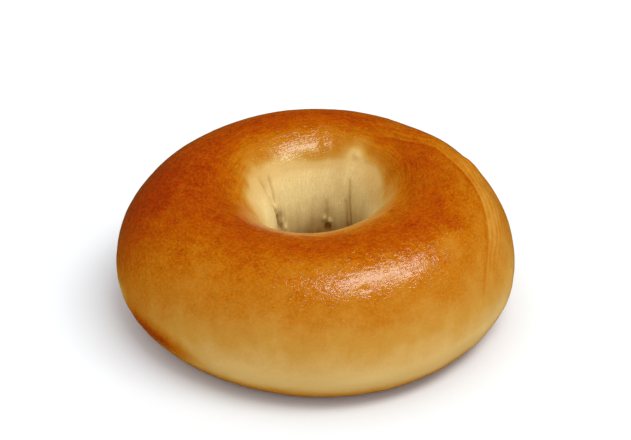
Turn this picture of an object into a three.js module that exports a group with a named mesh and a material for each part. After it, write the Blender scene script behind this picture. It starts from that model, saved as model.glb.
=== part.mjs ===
// A plain bagel: one baked ring of dough that lies on its flat underside.
// Millimetres, +Z up, +X to the right and +Y to the back. z = 0 is the surface it lies on.
// The ring is swept by angle: at each angle round the ring a rounded section is set out
// between the hole and the outside, and pressed flat below.

import * as THREE from 'three';

const DEGREE = Math.PI / 180;

// Driving dimensions.
const RING_DIAMETER = 112;       // across the outside
const RING_HEIGHT = 40.2;        // at the crest, as a mean round the ring
const HOLE_DIAMETER = 26.8;      // at the narrowest height, as a mean round the ring
const WIDEST_HEIGHT = 13.7;      // height where the ring is widest
const WAIST_HEIGHT = 15.7;       // height where the hole is narrowest
const UNDERSIDE_DROP = 4;        // how much of the round underside is pressed flat
const BLEND_OF_HEIGHTS = 0.35;   // how softly the waist's height turns into the widest one

// How far the ring is from an even one. Each wave has its number of turns round the ring,
// its size, and the angle of its peak.
const OUTSIDE_WAVES = [
  { turns: 2, size: 1.25, peak: -26 },
  { turns: 4, size: 0.4, peak: 9 },
];
const HOLE_WAVES = [
  { turns: 1, size: 3.7, peak: 70 },
  { turns: 2, size: 2.1, peak: 57 },
];
const HEIGHT_WAVES = [{ turns: 1, size: 1.0, peak: 35 }];

// The end of the dough strip is lapped over the ring. The lap's edge crosses the ring
// aslant, from the back of the crest at LAP_START down to the outer wall at LAP_END.
const LAP_START = { angle: 66, slope: 105 };
const LAP_END = { angle: -24, slope: 36 };
const LAP_BOW = 13;              // degrees that the edge bows away from a straight course
const LAP_HEIGHT = 0.7;          // how far the lapped dough stands proud of the ring
const LAP_WIDTH = 7;             // how far it fades, down the outer wall
const LAP_FADE = 12;             // degrees over which each end of the lap fades
const GUTTER_DEPTH = 0.5;        // dip along the inner side of the lap's edge
const GUTTER_WIDTH = 2.2;

// Creases in the wall of the hole, where the skin was pinched as the ring was closed.
// Slopes run from 90 at the crest, over the wall, to 180 at the waist and on below it.
const CREASES = [
  { angle: 146, from: 132, to: 190, depth: 1.1, width: 2.0 },
  { angle: 132, from: 145, to: 200, depth: 0.6, width: 1.6 },
  { angle: 61, from: 150, to: 205, depth: 0.8, width: 1.6 },
  { angle: 80, from: 163, to: 205, depth: 0.7, width: 1.6 },
];
const CREASE_FADE = 14;          // degrees over which each end of a crease fades

// Low dents and swellings in the skin.
const LUMPS = [
  { angle: 137, slope: 178, reach: 3.2, height: -1.6 },
  { angle: 79, slope: 184, reach: 2.2, height: -0.8 },
  { angle: 65, slope: 143, reach: 5, height: 0.5 },
  { angle: 165, slope: 122, reach: 3.5, height: 0.5 },
  { angle: 50, slope: 62, reach: 9, height: -0.6 },
  { angle: 20, slope: 56, reach: 7, height: -0.3 },
  { angle: -60, slope: 30, reach: 14, height: -0.4 },
  { angle: -140, slope: 25, reach: 14, height: 0.4 },
];

// The mesh: steps round the ring, steps over the rounded skin and steps across the foot.
const RING_STEPS = 96;
const SKIN_STEPS = 42;
const FOOT_STEPS = 6;

function waves(list, angle) {
  return list.reduce((sum, wave) => {
    return sum + wave.size * Math.cos(wave.turns * (angle - wave.peak * DEGREE));
  }, 0);
}

function bell(distance, reach) {
  return Math.exp(-((distance / reach) ** 2));
}

// The shortest way round from one angle to another, in radians.
function turn(from, to) {
  return Math.atan2(Math.sin(to - from), Math.cos(to - from));
}

// 1 between two limits, fading to 0 over a margin inside each.
function plateau(value, low, high, fade) {
  const rise = THREE.MathUtils.smoothstep(value, low, low + fade);
  const fall = 1 - THREE.MathUtils.smoothstep(value, high - fade, high);
  return rise * fall;
}

// The section's main sizes at an angle round the ring.
function section(angle) {
  const outside = RING_DIAMETER / 2 + waves(OUTSIDE_WAVES, angle);
  const hole = HOLE_DIAMETER / 2 + waves(HOLE_WAVES, angle);
  return {
    centre: (outside + hole) / 2,
    halfWidth: (outside - hole) / 2,
    height: RING_HEIGHT + waves(HEIGHT_WAVES, angle),
  };
}

// Height of the section's middle: at the waist's height on the side of the hole, and at
// the widest height on the outer side. side is -1 at the hole and +1 outside.
function middleHeight(side) {
  const outerShare = (1 + Math.tanh(side / BLEND_OF_HEIGHTS)) / 2;
  return WAIST_HEIGHT + (WIDEST_HEIGHT - WAIST_HEIGHT) * outerShare;
}

// A point of the smooth skin. slope is 0 at the outer wall, 90 degrees at the crest and
// 180 degrees at the waist of the hole.
function smoothSkin(angle, slope) {
  const { centre, halfWidth, height } = section(angle);
  const side = Math.cos(slope);
  const up = Math.sin(slope);
  const middle = middleHeight(side);
  const reach = up > 0 ? height - middle : middle + UNDERSIDE_DROP;
  return new THREE.Vector2(centre + halfWidth * side, middle + reach * up);
}

// The slope at which the skin meets the flat underside. inward is +1 on the hole's side
// and -1 on the outer side.
function footSlope(angle, inward) {
  let low = inward > 0 ? Math.PI : -Math.PI / 2;
  let high = inward > 0 ? Math.PI * 1.5 : 0;
  for (let halving = 0; halving < 40; halving += 1) {
    const slope = (low + high) / 2;
    const below = smoothSkin(angle, slope).y < 0;
    if (below === (inward > 0)) high = slope;
    else low = slope;
  }
  return (low + high) / 2;
}

// Height of the lapped dough, from the distance to the lap's edge.
function lap(angle, slope, scale) {
  const start = LAP_START.angle * DEGREE;
  const end = LAP_END.angle * DEGREE;
  const course = (angle - end) / (start - end);
  const straight = THREE.MathUtils.lerp(LAP_END.slope, LAP_START.slope, course);
  const edge = (straight + LAP_BOW * 4 * course * (1 - course)) * DEGREE;
  const below = (edge - slope) * scale;
  const fade = plateau(angle, end, start, LAP_FADE * DEGREE);
  const rise = THREE.MathUtils.smoothstep(below, -GUTTER_WIDTH / 2, GUTTER_WIDTH);
  const proud = LAP_HEIGHT * rise * bell(Math.max(below, 0), LAP_WIDTH);
  return fade * (proud - GUTTER_DEPTH * bell(below + GUTTER_WIDTH / 2, GUTTER_WIDTH));
}

function creases(angle, slope, radius) {
  return CREASES.reduce((sum, crease) => {
    const across = turn(crease.angle * DEGREE, angle) * radius;
    const along = plateau(
      slope, crease.from * DEGREE, crease.to * DEGREE, CREASE_FADE * DEGREE);
    return sum - crease.depth * along * bell(across, crease.width);
  }, 0);
}

function lumps(angle, slope, radius, scale) {
  return LUMPS.reduce((sum, lump) => {
    const across = turn(lump.angle * DEGREE, angle) * radius;
    const along = turn(lump.slope * DEGREE, slope) * scale;
    return sum + lump.height * bell(Math.hypot(across, along), lump.reach);
  }, 0);
}

// The skin with its lap, creases and lumps, each of them raised from the section's middle.
function skin(angle, slope) {
  const point = smoothSkin(angle, slope);
  const scale = section(angle).halfWidth;
  const relief = lap(angle, slope, scale)
    + creases(angle, slope, point.x)
    + lumps(angle, slope, point.x, scale);
  point.x += relief * Math.cos(slope);
  point.y += relief * Math.sin(slope);
  return point;
}

// The closed section at an angle: over the skin from the outer edge of the foot to its
// inner edge, then back across the flat foot.
function sectionPoints(angle) {
  const outerSlope = footSlope(angle, -1);
  const innerSlope = footSlope(angle, 1);
  const points = [];
  for (let step = 0; step <= SKIN_STEPS; step += 1) {
    const slope = THREE.MathUtils.lerp(outerSlope, innerSlope, step / SKIN_STEPS);
    const point = skin(angle, slope);
    const atFoot = step === 0 || step === SKIN_STEPS;
    points.push(new THREE.Vector2(point.x, atFoot ? 0 : Math.max(point.y, 0)));
  }
  const outerEdge = points[0];
  const innerEdge = points[SKIN_STEPS];
  for (let step = 1; step < FOOT_STEPS; step += 1) {
    points.push(innerEdge.clone().lerp(outerEdge, step / FOOT_STEPS));
  }
  return points;
}

// Sweeps the section round the ring into one closed mesh.
function ringGeometry() {
  const positions = [];
  const indices = [];
  const sectionSteps = SKIN_STEPS + FOOT_STEPS;
  for (let ringStep = 0; ringStep < RING_STEPS; ringStep += 1) {
    const angle = turn(0, (ringStep / RING_STEPS) * 2 * Math.PI);
    for (const point of sectionPoints(angle)) {
      positions.push(point.x * Math.cos(angle), point.x * Math.sin(angle), point.y);
    }
    for (let sectionStep = 0; sectionStep < sectionSteps; sectionStep += 1) {
      const here = ringStep * sectionSteps;
      const next = ((ringStep + 1) % RING_STEPS) * sectionSteps;
      const beside = (sectionStep + 1) % sectionSteps;
      indices.push(here + sectionStep, next + sectionStep, next + beside);
      indices.push(here + sectionStep, next + beside, here + beside);
    }
  }
  const geometry = new THREE.BufferGeometry();
  geometry.setAttribute('position', new THREE.Float32BufferAttribute(positions, 3));
  geometry.setIndex(indices);
  return geometry;
}

// Moves the origin to the middle of the box, on the surface that the bagel lies on.
function standOnOrigin(geometry) {
  geometry.computeBoundingBox();
  const centre = geometry.boundingBox.getCenter(new THREE.Vector3());
  geometry.translate(-centre.x, -centre.y, -geometry.boundingBox.min.z);
  geometry.computeVertexNormals();
  return geometry;
}

const crust = new THREE.MeshStandardMaterial({
  color: 0xbb6a18,
  roughness: 0.45,
  metalness: 0,
});

const bagel = new THREE.Mesh(standOnOrigin(ringGeometry()), crust);
bagel.name = 'bagel';

const group = new THREE.Group();
group.add(bagel);

export default group;
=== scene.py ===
"""A plain shiny bagel on a pale floor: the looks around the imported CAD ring.

A place on the ring is an angle and a slope, in degrees. The angle goes round the ring: 0 is
the right (+X), 90 the back (+Y) and -90 the front. The slope goes over the section: 0 is the
outer wall, 90 the crest and 180 the waist of the hole. Relief is in millimetres.
"""

import math

import bpy
import numpy as np
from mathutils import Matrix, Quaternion, Vector, noise
from mathutils.bvhtree import BVHTree


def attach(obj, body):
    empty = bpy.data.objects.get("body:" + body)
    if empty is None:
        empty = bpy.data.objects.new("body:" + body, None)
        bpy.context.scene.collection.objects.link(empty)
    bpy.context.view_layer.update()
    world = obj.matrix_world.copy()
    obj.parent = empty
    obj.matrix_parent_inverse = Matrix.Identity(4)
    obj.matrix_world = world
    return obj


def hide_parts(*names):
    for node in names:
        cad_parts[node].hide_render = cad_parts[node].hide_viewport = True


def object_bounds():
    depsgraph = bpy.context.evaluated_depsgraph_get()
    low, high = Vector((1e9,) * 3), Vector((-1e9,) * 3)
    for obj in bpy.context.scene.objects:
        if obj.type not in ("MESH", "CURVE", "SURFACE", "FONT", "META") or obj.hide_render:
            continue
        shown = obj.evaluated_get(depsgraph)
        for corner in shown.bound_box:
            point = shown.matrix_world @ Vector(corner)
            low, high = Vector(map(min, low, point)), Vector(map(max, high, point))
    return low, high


MM = 0.001
NODE = "bagel"

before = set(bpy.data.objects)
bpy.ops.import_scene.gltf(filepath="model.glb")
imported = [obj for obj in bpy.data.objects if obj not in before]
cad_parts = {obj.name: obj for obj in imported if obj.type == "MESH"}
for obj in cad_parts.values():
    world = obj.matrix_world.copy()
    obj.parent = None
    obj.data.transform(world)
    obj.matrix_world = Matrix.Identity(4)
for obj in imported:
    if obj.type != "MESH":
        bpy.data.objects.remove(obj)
cad_low, cad_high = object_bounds()
cad_size = cad_high - cad_low

# The grid of the fine mesh, and the middle of the section, as shares of the CAD box.
RING_STEPS = 420
SECTION_STEPS = 236
CREST_CROWDING = 0.3
CORE_HEIGHT = 0.355
CORE_RADIUS = 0.61
UNDERSIDE_DROP = 4 * MM
RING_BLUR = math.radians(2.0)
SECTION_BLUR = math.radians(3.0)
UP = np.array([0.0, 0.0, 1.0])


# ---------------------------------------------------------------- the smooth ring

def ray_lengths(tree, starts, directions):
    """How far the CAD surface is from each start, along its direction."""
    pairs = zip(starts.reshape(-1, 3), directions.reshape(-1, 3))
    found = [tree.ray_cast(Vector(start), Vector(way))[3] for start, way in pairs]
    return np.array(found, float).reshape(starts.shape[:-1])


def blur_round(grid, sigma, axis):
    """Gaussian blur along a closed axis. sigma is in radians of a full turn."""
    waves = np.fft.fftfreq(grid.shape[axis], 1 / grid.shape[axis])
    shape = [1] * grid.ndim
    shape[axis] = -1
    keep = np.exp(-0.5 * (waves * sigma) ** 2).reshape(shape)
    return np.fft.ifft(np.fft.fft(grid, axis=axis) * keep, axis=axis).real


def outward(angle):
    return np.stack([np.cos(angle), np.sin(angle), np.zeros_like(angle)], axis=-1)


def base_ring(node):
    """The CAD ring's surface on a grid of angles and slopes, softened over its facets."""
    tree = BVHTree.FromPolygons(
        [v.co for v in node.data.vertices], [p.vertices for p in node.data.polygons])
    core_z = cad_low.z + CORE_HEIGHT * cad_size.z
    core_radius = CORE_RADIUS * cad_size.x / 2
    angles = np.linspace(-math.pi, math.pi, RING_STEPS, endpoint=False)
    turns = np.linspace(-math.pi, math.pi, SECTION_STEPS, endpoint=False)
    slopes = turns + CREST_CROWDING * np.cos(turns)
    radial = outward(angles)
    core = radial * core_radius + UP * core_z
    outside = core_radius + ray_lengths(tree, core, radial)
    hole = core_radius - ray_lengths(tree, core, -radial)
    core = radial * ((outside + hole) / 2)[:, None] + UP * core_z
    half = blur_round(((outside - hole) / 2)[:, None], RING_BLUR, 0)
    rise = blur_round(ray_lengths(tree, core, np.tile(UP, (RING_STEPS, 1)))[:, None], RING_BLUR, 0)
    drop = core_z - cad_low.z + UNDERSIDE_DROP
    lift = np.where(np.sin(slopes) > 0, rise, drop) * np.sin(slopes)
    directions = (half * np.cos(slopes))[..., None] * radial[:, None] + lift[..., None] * UP
    directions /= np.linalg.norm(directions, axis=-1, keepdims=True)
    starts = np.broadcast_to(core[:, None], directions.shape)
    lengths = ray_lengths(tree, starts, directions)
    lengths = blur_round(blur_round(lengths, RING_BLUR, 0), SECTION_BLUR, 1)
    return starts + directions * lengths[..., None], np.degrees(angles), np.degrees(slopes)


def normals_of(points):
    round_ring = np.roll(points, -1, 0) - np.roll(points, 1, 0)
    over_section = np.roll(points, -1, 1) - np.roll(points, 1, 1)
    normals = np.cross(round_ring, over_section)
    return normals / np.linalg.norm(normals, axis=-1, keepdims=True)


smooth, angles, slopes = base_ring(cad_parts[NODE])
smooth_normals = normals_of(smooth)
in_mm = smooth / MM
angle = np.broadcast_to(angles[:, None], smooth.shape[:2])
slope = np.broadcast_to(slopes[None, :], smooth.shape[:2])


# ---------------------------------------------------------------- tools for the relief

def turn(from_degrees, to_degrees):
    """The shortest way round from one angle to another, in degrees."""
    return (to_degrees - from_degrees + 180) % 360 - 180


def bell(distance, reach):
    return np.exp(-(distance / reach) ** 2)


def smoothstep(value, low, high):
    share = np.clip((value - low) / (high - low), 0, 1)
    return share * share * (3 - 2 * share)


def place(at_angle, at_slope):
    """The point of the smooth ring at an angle and a slope, in millimetres."""
    row = (at_angle - angles[0]) / 360 * RING_STEPS
    level = np.interp(
        (at_slope - slopes[0]) % 360, slopes - slopes[0], np.arange(SECTION_STEPS))
    rows = (math.floor(row) + np.array([0, 1])) % RING_STEPS
    levels = (math.floor(level) + np.array([0, 1])) % SECTION_STEPS
    lower, upper = in_mm[rows][:, levels].transpose(1, 0, 2)
    across = row - math.floor(row)
    up = level - math.floor(level)
    before, after = lower * (1 - up) + upper * up
    return before * (1 - across) + after * across


def curve_through(stops, steps=8):
    """A smooth curve through a list of places, as more places."""
    stops = np.array(stops, float)
    padded = np.vstack([2 * stops[0] - stops[1], stops, 2 * stops[-1] - stops[-2]])
    t = np.linspace(0, 1, steps, endpoint=False)[:, None]
    spans = [
        0.5 * (2 * b + (c - a) * t + (2 * a - 5 * b + 4 * c - d) * t ** 2
               + (3 * b - a - 3 * c + d) * t ** 3)
        for a, b, c, d in zip(padded, padded[1:], padded[2:], padded[3:])]
    return np.vstack(spans + [stops[-1:]])


def beside(stops):
    """For each grid point: its distance from a curve on the ring, the share of the curve's
    length where it is nearest, and 1 or -1 for the left or the right side of the curve."""
    line = np.array([place(*stop) for stop in curve_through(stops)])
    distance = np.full(in_mm.shape[:2], 1e9)
    course = np.zeros_like(distance)
    side = np.ones_like(distance)
    for step, (start, end) in enumerate(zip(line, line[1:])):
        span = end - start
        offset = in_mm - start
        share = np.clip(offset @ span / (span @ span), 0, 1)
        away = offset - share[..., None] * span
        apart = np.linalg.norm(away, axis=-1)
        closer = apart < distance
        leftness = (np.cross(span, away) * smooth_normals).sum(-1)
        distance = np.where(closer, apart, distance)
        course = np.where(closer, (step + share) / (len(line) - 1), course)
        side = np.where(closer, np.where(leftness > 0, 1.0, -1.0), side)
    return distance, course, side


def ends(course, fade=0.2):
    """1 along a curve, fading to 0 at both of its ends."""
    return smoothstep(course, 0, fade) * smoothstep(1 - course, 0, fade)


def groove(stops, depth, width):
    distance, course, _ = beside(stops)
    return -depth * bell(distance, width) * ends(course)


def spot(at_angle, at_slope, reach, height, stretch=1.0):
    """A round bump or pit. stretch above 1 makes it longer over the section."""
    centre = place(at_angle, at_slope)
    index = np.unravel_index(
        np.argmin(((in_mm - centre) ** 2).sum(-1)), in_mm.shape[:2])
    over = in_mm[index[0], (index[1] + 1) % SECTION_STEPS] - in_mm[index]
    over /= np.linalg.norm(over)
    offset = in_mm - centre
    lengthways = offset @ over
    crossways = np.sqrt(np.maximum((offset ** 2).sum(-1) - lengthways ** 2, 0))
    return height * bell(np.hypot(crossways, lengthways / stretch), reach)


SECTION_RADIUS = 19.0


def torus(squeeze_round, squeeze_over=1.0):
    """Places on a torus to read noise from. A squeeze round the ring draws the grain out round
    the ring, and one over the section draws it out over the section."""
    centre = CORE_RADIUS * cad_size.x / 2 / MM / squeeze_round
    section = SECTION_RADIUS / squeeze_over
    radius = centre + section * np.cos(np.radians(slope))
    flat = outward(np.radians(angle)) * radius[..., None]
    return flat + UP * (section * np.sin(np.radians(slope)))[..., None]


round_grain = torus(1.0)
long_grain = torus(3.2)
tall_grain = torus(1.0, 3.5)


def grain(coordinates, size, seed, octaves=1):
    """Noise between about -1 and 1, with features of a size in millimetres."""
    shift = Vector((seed * 17.3, seed * -9.1, seed * 5.7))
    flat = coordinates.reshape(-1, 3) / size
    if octaves == 1:
        values = [noise.noise(Vector(row) + shift) for row in flat]
    else:
        values = [noise.fractal(Vector(row) + shift, 0.7, 2.0, octaves) for row in flat]
    return np.array(values).reshape(coordinates.shape[:2])


# ---------------------------------------------------------------- relief of the skin

CAP = smoothstep(slope, 12, 45) * smoothstep(-slope, -150, -115)
HOLE_WALL = smoothstep(slope, 128, 150) + smoothstep(-slope, 165, 185)

# The lap of the dough: stops along its edge, as angle and slope, the step down off the edge,
# and how far outside the edge each drawn line of the skin runs.
LAP_EDGE = [(60, 109), (41, 101), (27, 87), (12, 77), (-5, 60), (-19, 45), (-30, 30), (-36, 14)]
LAP_STEP = 0.30
LAP_STEP_REACH = 4.0
LAP_LINES = (1.6, 3.1, 4.4, 6.0)
LAP_LINE_HEIGHT = 0.10
LAP_LINE_WIDTH = 0.5
LAP_END_FADE = 0.1


def lap_relief():
    """The step down off the lap's edge and the drawn skin just outside it."""
    distance, course, side = beside(LAP_EDGE)
    outside = np.where(side > 0, distance, -distance)
    settled = bell(np.maximum(outside, 0), LAP_STEP_REACH)
    step = -LAP_STEP * smoothstep(outside, -0.4, 0.5) * settled
    lines = sum(
        LAP_LINE_HEIGHT * bell(outside - offset, LAP_LINE_WIDTH) for offset in LAP_LINES)
    fade = ends(course, LAP_END_FADE) * (1 - 0.8 * smoothstep(course, 0.55, 0.8))
    return (step + lines) * fade, outside, course


# The wall of the hole: the fold where the skin was pinched, its creases, as stops, depth and
# width, and its knobs and pits, as angle, slope, reach, height and stretch.
FOLD = [(145, 130), (147, 141), (148, 150), (146, 161), (144, 176), (142, 192)]
FOLD_RISE = 0.9
FOLD_CLEFT = 1.0
HOLE_CREASES = [
    ([(133, 136), (135, 143), (137, 152), (139, 160)], 0.45, 0.5),
    ([(62, 147), (61, 154), (60, 165), (58, 176), (57, 190)], 0.45, 0.4),
    ([(64, 162), (62, 170), (61, 190)], 0.35, 0.4),
    ([(80, 163), (80, 182)], 0.22, 0.5),
    ([(93, 160), (92, 172), (91, 190)], 0.12, 1.0),
    ([(109, 155), (108, 172), (107, 190)], 0.10, 1.0),
    ([(119, 160), (118, 188)], 0.12, 1.0),
    ([(45, 155), (44, 172), (42, 190)], 0.10, 1.2),
]
HOLE_SPOTS = [
    (135, 171, 1.6, -1.8, 2.0), (79, 188, 0.8, -1.3, 1.6), (58, 188, 1.3, -0.7, 1.4),
    (140, 157, 0.8, 0.8, 1.3), (147, 155, 0.9, 0.5, 1.6), (130, 171, 0.6, 1.0, 2.0),
    (126, 176, 0.6, 0.8, 1.8), (135, 176, 0.5, 0.9, 1.6), (82, 178, 0.7, 1.0, 0.9),
    (77, 180, 0.8, 1.0, 0.9), (66, 150, 2.4, 0.40, 2.4), (101, 160, 3.0, 0.25, 2.4),
    (72, 172, 1.6, 0.25, 3.0),
]
TORN_PLACE = (133, 176)
TORN_REACH = (9, 12)


def hole_relief():
    """The pinched and torn skin in the wall of the hole, and painted shade in its creases and
    pits.
    """
    distance, course, side = beside(FOLD)
    fold = side * distance
    strength = ends(course) * (0.5 + 0.8 * course)
    relief = FOLD_RISE * smoothstep(-fold, -0.2, 0.9) * bell(np.minimum(fold, 0), 3.2) * strength
    relief -= FOLD_CLEFT * bell(fold - 0.4, 0.8) * strength
    # Painted shade in the cleft of the fold, and below, in each crease.
    shade = 0.45 * bell(fold - 0.3, 0.5) * strength
    for stops, depth, width in HOLE_CREASES:
        dent = groove(stops, depth, width)
        relief += dent
        shade -= 0.8 * dent
    for at_angle, at_slope, reach, height, stretch in HOLE_SPOTS:
        bump = spot(at_angle, at_slope, reach, height, stretch)
        relief += bump
        # Painted shade in each pit; each knob takes painted shade away, so it is painted lighter.
        shade -= np.where(height < 0, 0.4, 0.5) * bump
    torn = bell(turn(TORN_PLACE[0], angle), TORN_REACH[0])
    torn = torn * bell(turn(TORN_PLACE[1], slope), TORN_REACH[1])
    relief += (0.06 * HOLE_WALL + 0.5 * torn) * grain(tall_grain, 2.6, 7, 2)
    return relief, shade


# The crest: bumps and dents, as angle, slope, reach, height and stretch, and drawn lines, as
# stops, depth and width.
CAP_SPOTS = [
    (164, 125, 1.4, 0.5, 1.2), (152, 119, 1.2, 0.45, 0.9), (171, 119, 1.0, 0.3, 1.0),
    (176, 113, 0.8, 0.25, 1.0), (-176, 118, 1.2, 0.25, 1.0), (61, 132, 1.1, 0.6, 1.0),
    (52, 132, 0.8, 0.22, 1.0), (97, 127, 2.2, 0.2, 0.6), (84, 126, 1.6, 0.2, 0.7),
    (52, 83, 2.4, -0.35, 1.0), (15, 63, 4.4, 0.9, 1.0), (5, 50, 4.0, -0.7, 1.2),
    (-18, 5, 5.0, 0.6, 1.0), (-28, -9, 6.0, -0.6, 1.0), (-42, -18, 6.0, -0.35, 1.0),
    (60, 98, 0.7, -0.25, 1.0), (53, 97, 0.7, 0.25, 1.0), (-26, 60, 1.3, 0.12, 1.0),
    (-12, 104, 1.0, 0.15, 1.0), (13, 105, 0.9, 0.15, 1.0), (-74, 51, 0.9, -0.2, 1.0),
]
CAP_LINES = [
    ([(-80, 64), (-72, 64.5), (-64, 64.5)], 0.04, 0.45),
    ([(-74, 53), (-65, 53), (-57, 54)], 0.04, 0.4),
    ([(-80, 50), (-70, 50.5), (-59, 51)], 0.05, 0.4),
    ([(-88, 60), (-80, 61), (-72, 61)], 0.03, 0.35),
    ([(-62, 67), (-56, 68), (-52, 66)], 0.04, 0.4),
    ([(-30, 75), (-27, 76), (-24, 75)], 0.10, 0.4),
    ([(-34, 52), (-31, 54), (-27, 53)], 0.10, 0.5),
]


def cap_relief():
    """Bumps, blisters and drawn lines on the crest."""
    relief = sum(spot(*values) for values in CAP_SPOTS)
    return relief + sum(groove(*values) for values in CAP_LINES)


def skin_relief():
    """Low lumps all over, dimples, and fine wrinkles that run round the ring. Each grain has
    its height in front and its size inside, in millimetres."""
    lumps = 0.16 * grain(round_grain, 15, 1) + 0.035 * grain(round_grain, 7, 2)
    dimples = 0.02 * grain(round_grain, 2.4, 3)
    wrinkles = 0.03 * grain(long_grain, 1.5, 4, 2) * CAP
    folds = 0.05 * np.sin(np.radians(angle) * 23 + 2.5 * grain(round_grain, 9, 5)) * HOLE_WALL
    lower = 0.10 * grain(long_grain, 3.0, 6) * (1 - CAP)
    return lumps + dimples + wrinkles + folds + lower


lap, outside_lap, lap_course = lap_relief()
hole, hole_shade = hole_relief()
relief = lap + hole + cap_relief() + skin_relief()
points = smooth + smooth_normals * relief[..., None] * MM
points[..., 2] = np.maximum(points[..., 2], cad_low.z)


# ---------------------------------------------------------------- how far the skin is baked

# Slopes and levels, from 0 for pale dough to 1 for the darkest crust. HOLE_BAKE is the share
# of the level that is left, from the crest down into the hole.
FRONT_BAKE = [
    (-180, 0.00), (-150, 0.10), (-125, 0.45), (-60, 0.60), (-34, 0.52), (-24, 0.30),
    (-12, 0.26), (15, 0.43), (50, 0.62), (90, 0.86), (180, 0.95)]
LEFT_BAKE = [
    (-180, 0.00), (-150, 0.10), (-125, 0.45), (-75, 0.65), (-45, 0.75), (0, 0.76),
    (30, 0.97), (70, 1.00), (90, 0.92), (180, 0.92)]
HOLE_BAKE = [(90, 1.00), (105, 0.92), (120, 0.69), (135, 0.34), (148, 0.08), (162, 0.00)]
LEFT = 174
LEFT_REACH = 35
RIM_WAVE = 7                # degrees that the brown skin reaches deeper at two sides of the hole
LAP_BAND = 13               # how far the paler drawn skin spreads outside the lap's edge
# Darker and paler patches, some painted light: angle, slope, reach over each of them, and change
# of level.
BAKE_AND_LIGHT_PATCHES = [
    # The crest: dark at the back, paler at the right, and blotched at the front right.
    (112, 86, 34, 16, 0.09),
    (12, 84, 26, 12, -0.10),
    (-38, 80, 16, 12, 0.10),
    (-29, 66, 5, 7, 0.12),
    (-37, 57, 4, 8, -0.10),
    # The rim of the hole: a pale streak, a brown band behind the hole, and two pale sides.
    (63, 125, 8, 16, -0.20),
    (88, 134, 20, 7, 0.18),
    (118, 126, 14, 8, 0.07),
    (48, 138, 14, 8, -0.15),
    (170, 138, 18, 14, -0.16),
    (-123, 106, 14, 9, 0.10),
    # The outer wall: golden at the front, brown at the left down to a scorched foot, and painted
    # light.
    # Painted highlight: paler under the softbox's highlight, so that it looks cream.
    (-68, 58, 17, 10, -0.14),
    (-90, 70, 12, 8, -0.10),
    (175, 52, 20, 18, 0.08),
    (-144, -15, 14, 11, 0.60),
    # Painted reflection of the floor: a pale rim low on the left outline.
    (-166, -10, 9, 13, -0.35),
    (-75, -11, 8, 5, -0.10),
    (-30, -10, 8, 6, -0.12),
]


def bake_levels():
    """How far each place is baked: by slope, then the hole, the patches, some painted light, the
    lap and mottling.
    """
    def course(stops):
        return blur_round(np.interp(slope, *zip(*stops)), math.radians(4), 1)

    left_share = bell(turn(LEFT, angle), LEFT_REACH)
    front = course(FRONT_BAKE)
    level = front + (course(LEFT_BAKE) - front) * left_share
    deeper = RIM_WAVE * np.cos(np.radians(2 * (angle - 25)))
    around = np.where(slope < -90, slope + 360, slope)
    ragged = 3.0 * grain(round_grain, 6, 11) + 2.0 * grain(round_grain, 2.5, 12)
    level = level * np.interp(around - deeper + ragged, *zip(*HOLE_BAKE))
    for at_angle, at_slope, over_angle, over_slope, change in BAKE_AND_LIGHT_PATCHES:
        reach = np.hypot(turn(at_angle, angle) / over_angle, turn(at_slope, slope) / over_slope)
        level = level + change * bell(reach, 1)
    band = smoothstep(outside_lap, -0.3, 0.5) * bell(np.maximum(outside_lap, 0), LAP_BAND)
    drawn = 0.76 - 0.26 * smoothstep(lap_course, 0.15, 0.55)
    drawn = drawn - 0.04 * np.sin(3.4 * outside_lap + 3 * grain(round_grain, 7, 16))
    level = level + (np.minimum(drawn, level) - level) * band * ends(lap_course, LAP_END_FADE)
    level = level + 0.08 * bell(outside_lap + 0.6, 0.7) * ends(lap_course, LAP_END_FADE)
    crust = smoothstep(level, 0.1, 0.7)
    mottle = 0.05 * grain(round_grain, 11, 13) + 0.055 * grain(round_grain, 3.6, 14, 3)
    streaks = 0.05 * grain(long_grain, 2.2, 15, 2) * CAP
    return np.clip(level + (mottle + streaks) * crust, 0, 1)


def crinkles(level):
    """How strongly the thin skin is crinkled: on the crust and round the back of the hole."""
    behind = bell(turn(100, angle), 50) * bell(turn(126, slope), 16)
    return np.clip(0.35 + 0.65 * smoothstep(level, 0.3, 0.7) + 0.6 * behind, 0, 1.3)


def hole_painted_shade():
    """Painted shade on the wall of the hole: darker low down, most at the back, and in its creases
    and pits.
    """
    around = np.where(slope < -60, slope + 360, slope)
    toward_back = 0.6 + 0.4 * np.cos(np.radians(angle - 85))
    right = 10 * bell(turn(42, angle), 22)
    # Painted shade, growing from partway down the wall to the bottom of the hole.
    low = 0.78 * smoothstep(around + right, 158, 200) * toward_back
    low = low * (1 + 0.3 * grain(tall_grain, 5, 21) + 0.2 * grain(tall_grain, 2.2, 22))
    return np.clip(low + hole_shade, 0, 0.95)


# ---------------------------------------------------------------- the crust as a mesh

def ring_mesh(name, points):
    rings, steps = points.shape[:2]
    here = np.arange(rings * steps).reshape(rings, steps)
    next_ring = np.roll(here, -1, 0)
    faces = np.stack([here, next_ring, np.roll(next_ring, -1, 1), np.roll(here, -1, 1)], -1)
    mesh = bpy.data.meshes.new(name)
    mesh.from_pydata(points.reshape(-1, 3).tolist(), [], faces.reshape(-1, 4).tolist())
    mesh.shade_smooth()
    mesh.validate()
    return mesh


def add_number(mesh, name, values):
    made = mesh.attributes.new(name, "FLOAT", "POINT")
    made.data.foreach_set("value", values.astype(np.float32).ravel())


def add_place(mesh, name, values):
    made = mesh.attributes.new(name, "FLOAT_VECTOR", "POINT")
    made.data.foreach_set("vector", values.astype(np.float32).ravel())


mesh = ring_mesh("bagel_crust", points)
levels = bake_levels()
add_number(mesh, "bake", levels)
add_number(mesh, "crinkle", crinkles(levels))
add_number(mesh, "wall", np.clip(HOLE_WALL, 0, 1))
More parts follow.
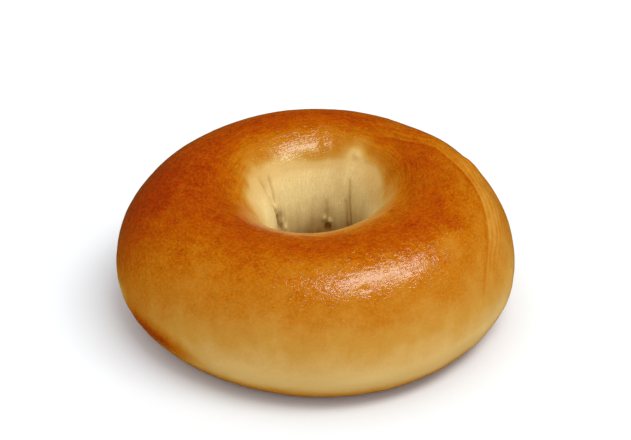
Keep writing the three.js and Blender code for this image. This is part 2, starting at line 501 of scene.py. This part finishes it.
# The painted shade in the hole goes in as the depth attribute.
add_number(mesh, "depth", hole_painted_shade())
add_place(mesh, "round_grain", round_grain)
add_place(mesh, "long_grain", long_grain)
add_place(mesh, "tall_grain", tall_grain)
crust = bpy.data.objects.new("bagel_crust", mesh)
bpy.context.scene.collection.objects.link(crust)


# ---------------------------------------------------------------- material

def linear(*values):
    """A colour given from 0 to 255 as seen on a screen, as linear light."""
    shares = [value / 255 for value in values]
    return [s / 12.92 if s <= 0.04045 else ((s + 0.055) / 1.055) ** 2.4 for s in shares] + [1.0]


class Tree:
    """Makes the nodes of a material or a world and joins them."""

    def __init__(self, owner):
        owner.use_nodes = True
        self.nodes = owner.node_tree.nodes
        self.links = owner.node_tree.links
        self.shader = self.nodes.get("Principled BSDF")

    def feed(self, socket, value):
        if hasattr(value, "is_output"):
            self.links.new(value, socket)
        else:
            socket.default_value = value

    def attribute(self, name, output="Fac"):
        node = self.nodes.new("ShaderNodeAttribute")
        node.attribute_name = name
        return node.outputs[output]

    def noise(self, where, per_mm, detail=2.0, distortion=0.0):
        node = self.nodes.new("ShaderNodeTexNoise")
        self.feed(node.inputs["Vector"], where)
        self.feed(node.inputs["Scale"], per_mm)
        self.feed(node.inputs["Detail"], detail)
        self.feed(node.inputs["Distortion"], distortion)
        return node.outputs["Fac"]

    def math(self, operation, *values):
        node = self.nodes.new("ShaderNodeMath")
        node.operation = operation
        for socket, value in zip(node.inputs, values):
            self.feed(socket, value)
        return node.outputs[0]

    def spread(self, value, low, high, start=0.0, end=1.0, smooth=False):
        """value from start to end, moved to between low and high."""
        node = self.nodes.new("ShaderNodeMapRange")
        node.interpolation_type = "SMOOTHSTEP" if smooth else "LINEAR"
        self.feed(node.inputs["Value"], value)
        self.feed(node.inputs["From Min"], start)
        self.feed(node.inputs["From Max"], end)
        self.feed(node.inputs["To Min"], low)
        self.feed(node.inputs["To Max"], high)
        return node.outputs[0]

    def squiggles(self, where, per_mm, width, detail, distortion):
        """1 on winding lines, where the noise passes its middle, and 0 away from them."""
        value = self.noise(where, per_mm, detail, distortion)
        apart = self.math("ABSOLUTE", self.math("SUBTRACT", value, 0.5))
        return self.spread(apart, 1.0, 0.0, 0.0, width)

    def ramp(self, value, stops):
        node = self.nodes.new("ShaderNodeValToRGB")
        self.feed(node.inputs["Fac"], value)
        elements = node.color_ramp.elements
        while len(elements) < len(stops):
            elements.new(0.5)
        for element, (position, colour) in zip(elements, stops):
            element.position = position
            element.color = colour
        return node.outputs["Color"]

    def mix(self, share, first, second, blend="MIX"):
        node = self.nodes.new("ShaderNodeMix")
        node.data_type = "RGBA"
        node.blend_type = blend
        self.feed(node.inputs[0], share)
        self.feed(node.inputs[6], first)
        self.feed(node.inputs[7], second)
        return node.outputs[2]

    def bump(self, height, distance, below=None):
        node = self.nodes.new("ShaderNodeBump")
        self.feed(node.inputs["Height"], height)
        self.feed(node.inputs["Distance"], distance)
        if below is not None:
            self.feed(node.inputs["Normal"], below)
        return node.outputs["Normal"]


# The colour of each level of baking.
BAKE_COLOURS = [
    (0.00, linear(228, 204, 143)),
    (0.15, linear(212, 178, 113)),
    (0.30, linear(206, 168, 99)),
    (0.42, linear(189, 137, 54)),
    (0.54, linear(180, 112, 25)),
    (0.66, linear(175, 99, 6)),
    (0.78, linear(165, 78, 0)),
    (0.88, linear(159, 65, 0)),
    (1.00, linear(143, 43, 0)),
]


# The olive brown of the painted shade in the hole.
PAINTED_SHADE_COLOUR = linear(148, 98, 22)
# How many features of each kind go to a millimetre, as noise scales.
SPECKS = 1.15
PORES = 2.6
LONG_PORES = 2.2
TALL_PORES = 2.0
SHEEN_PATCHES = 0.5
SKIN_GRAINS = 2.2
SKIN_WRINKLES = 1.3
SKIN_CRINKLES = 0.6
# Depths of the skin's fine relief. The crinkles are cut in.
GRAIN_DEPTH = 0.015 * MM
WRINKLE_DEPTH = 0.025 * MM
CRINKLE_DEPTH = -0.038 * MM
COAT_ROUGHNESS = 0.09
COAT_IOR = 1.58


def crust_colour(tree, bake, wall, round_place, long_place, tall_place):
    """The colour of the level of baking, with specks and pores, and painted shade in the hole."""
    crusty = tree.spread(bake, 0.15, 1.3, 0.4, 0.8, smooth=True)
    specks = tree.noise(round_place, SPECKS, 3.0)
    level = tree.math("MULTIPLY_ADD", tree.spread(specks, -0.10, 0.10), crusty, bake)
    colour = tree.ramp(level, BAKE_COLOURS)
    long_pores = tree.noise(long_place, LONG_PORES, 3.0)
    tall_pores = tree.noise(tall_place, TALL_PORES, 3.0)
    along = tree.mix(wall, long_pores, tall_pores)
    fine = tree.math("ADD", tree.noise(round_place, PORES, 3.0), along)
    contrast = tree.math("MULTIPLY_ADD", crusty, 0.8, tree.math("MULTIPLY", wall, 0.25))
    pores = tree.math("MULTIPLY_ADD", tree.math("SUBTRACT", fine, 1.0), contrast, 0.97)
    colour = tree.mix(1.0, colour, pores, "MULTIPLY")
    # Painted shade in the hole, mixed in by the depth attribute.
    return tree.mix(tree.attribute("depth"), colour, PAINTED_SHADE_COLOUR)


def crust_skin(tree, round_place, long_place):
    """The skin's fine relief: grains, wrinkles along the ring, and winding crinkles."""
    strength = tree.attribute("crinkle")
    grains = tree.noise(round_place, SKIN_GRAINS, 2.0)
    wrinkles = tree.noise(long_place, SKIN_WRINKLES, 2.0, 1.0)
    lines = tree.math(
        "MAXIMUM", tree.squiggles(round_place, SKIN_CRINKLES, 0.12, 2.0, 1.0),
        tree.squiggles(long_place, SKIN_CRINKLES, 0.10, 2.0, 1.0))
    skin = tree.bump(grains, tree.math("MULTIPLY", strength, GRAIN_DEPTH))
    skin = tree.bump(wrinkles, tree.math("MULTIPLY", strength, WRINKLE_DEPTH), skin)
    return tree.bump(lines, tree.math("MULTIPLY", strength, CRINKLE_DEPTH), skin)


def crust_material():
    """Baked crust under a thin glossy skin, which is dull in the hole."""
    material = bpy.data.materials.new("crust")
    tree = Tree(material)
    inputs = tree.shader.inputs
    bake = tree.attribute("bake")
    wall = tree.attribute("wall")
    round_place = tree.attribute("round_grain", "Vector")
    long_place = tree.attribute("long_grain", "Vector")
    tall_place = tree.attribute("tall_grain", "Vector")
    colour = crust_colour(tree, bake, wall, round_place, long_place, tall_place)
    tree.feed(inputs["Base Color"], colour)

    sheen = tree.noise(round_place, SHEEN_PATCHES, 3.0)
    rough = tree.math("ADD", tree.spread(sheen, 0.22, 0.34), tree.math("MULTIPLY", wall, 0.2))
    tree.feed(inputs["Roughness"], rough)
    tree.feed(inputs["Specular IOR Level"], 0.0)
    coat = tree.math("MULTIPLY", tree.spread(wall, 1.0, 0.12), tree.spread(bake, 0.35, 1.0))
    tree.feed(inputs["Coat Weight"], coat)
    tree.feed(inputs["Coat Roughness"], COAT_ROUGHNESS)
    tree.feed(inputs["Coat IOR"], COAT_IOR)

    skin = crust_skin(tree, round_place, long_place)
    tree.feed(inputs["Normal"], skin)
    tree.feed(inputs["Coat Normal"], skin)
    return material


mesh.materials.append(crust_material())
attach(crust, "root")
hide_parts(NODE)


# ---------------------------------------------------------------- floor, light and camera

FLOOR_REACH = 6.0
FLOOR_COLOUR = (0.775, 0.8, 0.82, 1)


def make_floor():
    reach = FLOOR_REACH
    floor_mesh = bpy.data.meshes.new("floor")
    corners = [(-reach, -reach, 0), (reach, -reach, 0), (reach, reach, 0), (-reach, reach, 0)]
    floor_mesh.from_pydata(corners, [], [(0, 1, 2, 3)])
    floor = bpy.data.objects.new("floor", floor_mesh)
    bpy.context.scene.collection.objects.link(floor)
    material = bpy.data.materials.new("floor")
    tree = Tree(material)
    tree.feed(tree.shader.inputs["Base Color"], FLOOR_COLOUR)
    tree.feed(tree.shader.inputs["Roughness"], 1.0)
    tree.feed(tree.shader.inputs["Specular IOR Level"], 0.0)
    floor_mesh.materials.append(material)
    floor.visible_glossy = False


# The exposure makes the open floor white. The light is shared between a softbox above the
# right of the bagel and an even dome.
EXPOSURE = 1.46
SOFTBOX_SHARE = 0.38
SOFTBOX_WAY = Vector((0.36, -0.235, 0.905)).normalized()
SOFTBOX_DISTANCE = 1.6
SOFTBOX_HALF_ANGLES = (21, 9)
SOFTBOX_ROLL = -28
# What the skin mirrors all round it, apart from the softbox: a dim warm glow.
WARM_GLOSS = (0.13, 0.06, 0.012, 1)


def make_light():
    lamp = bpy.data.lights.new("softbox", "AREA")
    lamp.shape = "RECTANGLE"
    lamp.size, lamp.size_y = [
        2 * SOFTBOX_DISTANCE * math.tan(math.radians(half)) for half in SOFTBOX_HALF_ANGLES]
    lamp.energy = (
        SOFTBOX_SHARE * EXPOSURE * math.pi ** 2 * SOFTBOX_DISTANCE ** 2 / SOFTBOX_WAY.z)
    softbox = bpy.data.objects.new("softbox", lamp)
    softbox.location = Vector((0, 0, cad_size.z / 2)) + SOFTBOX_WAY * SOFTBOX_DISTANCE
    facing = SOFTBOX_WAY.to_track_quat("Z", "Y")
    roll = Quaternion((0, 0, 1), math.radians(SOFTBOX_ROLL))
    softbox.rotation_euler = (facing @ roll).to_euler()
    bpy.context.scene.collection.objects.link(softbox)

    world = bpy.data.worlds.new("studio")
    tree = Tree(world)
    dome = [(1 - SOFTBOX_SHARE) * EXPOSURE] * 3 + [1]
    glossy_ray = tree.nodes.new("ShaderNodeLightPath").outputs["Is Glossy Ray"]
    seen = tree.mix(glossy_ray, dome, WARM_GLOSS)
    tree.feed(tree.nodes["Background"].inputs["Color"], seen)
    world.cycles.sampling_method = "NONE"
    bpy.context.scene.world = world


CAMERA_ELEVATION = math.radians(32.16)
CAMERA_DISTANCE = 0.5
CAMERA_TARGET = Vector((0.1 * MM, 0, 26.63 * MM))
CAMERA_LENS = 100.45
SENSOR_WIDTH = 36.0


def make_camera():
    lens = bpy.data.cameras.new("camera")
    lens.lens = CAMERA_LENS
    lens.sensor_width = SENSOR_WIDTH
    camera = bpy.data.objects.new("camera", lens)
    back = Vector((0, -math.cos(CAMERA_ELEVATION), math.sin(CAMERA_ELEVATION)))
    camera.location = CAMERA_TARGET + back * CAMERA_DISTANCE
    camera.rotation_euler = back.to_track_quat("Z", "Y").to_euler()
    bpy.context.scene.collection.objects.link(camera)
    bpy.context.scene.camera = camera


make_floor()
make_light()
make_camera()
bpy.context.scene.view_settings.view_transform = "Standard"
